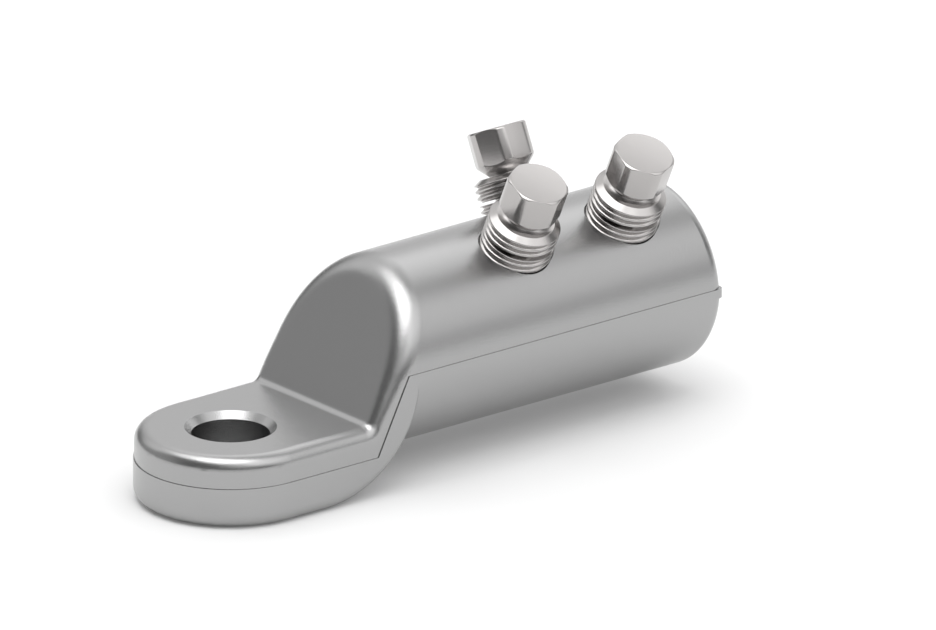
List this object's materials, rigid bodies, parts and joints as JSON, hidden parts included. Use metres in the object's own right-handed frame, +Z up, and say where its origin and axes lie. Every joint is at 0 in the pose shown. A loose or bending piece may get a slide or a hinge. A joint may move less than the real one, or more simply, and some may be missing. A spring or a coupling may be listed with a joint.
{
  "type": "shear bolt connector",
  "caption": "Cable lug with a flat rounded palm and stud hole, a blind round barrel for a stranded conductor, and hexagon-headed shear bolts staggered along its top.",
  "frame": {"origin": "centre of the stud hole on the palm's underside", "axes": "+X along the barrel from the palm to the cable entry, +Y to the side of the single rear bolt, +Z up out of the palm"},
  "size_m": [0.1405, 0.0443, 0.0623],
  "materials": {
    "tinned_aluminium": "satin tin plate over a shot-blasted forging",
    "tinned_brass": "smooth tin plate over turned brass"
  },
  "bodies": {
    "body": {"lug_body": "tinned_aluminium"},
    "bolt_front_palm_side": {"shear_bolt_front_palm_side": "tinned_brass"},
    "bolt_rear_middle": {"shear_bolt_rear_middle": "tinned_brass"},
    "bolt_front_cable_side": {"shear_bolt_front_cable_side": "tinned_brass"}
  },
  "joints": [
    {"name": "screw_front_palm_side", "type": "slide", "parent": "body", "child": "bolt_front_palm_side", "axis": [0, -0.4258, 0.9048], "range_m": [-0.0075, 0.004]},
    {"name": "screw_rear_middle", "type": "slide", "parent": "body", "child": "bolt_rear_middle", "axis": [0, 0.4258, 0.9048], "range_m": [-0.0075, 0.004]},
    {"name": "screw_front_cable_side", "type": "slide", "parent": "body", "child": "bolt_front_cable_side", "axis": [0, -0.4258, 0.9048], "range_m": [-0.0075, 0.004]}
  ]
}
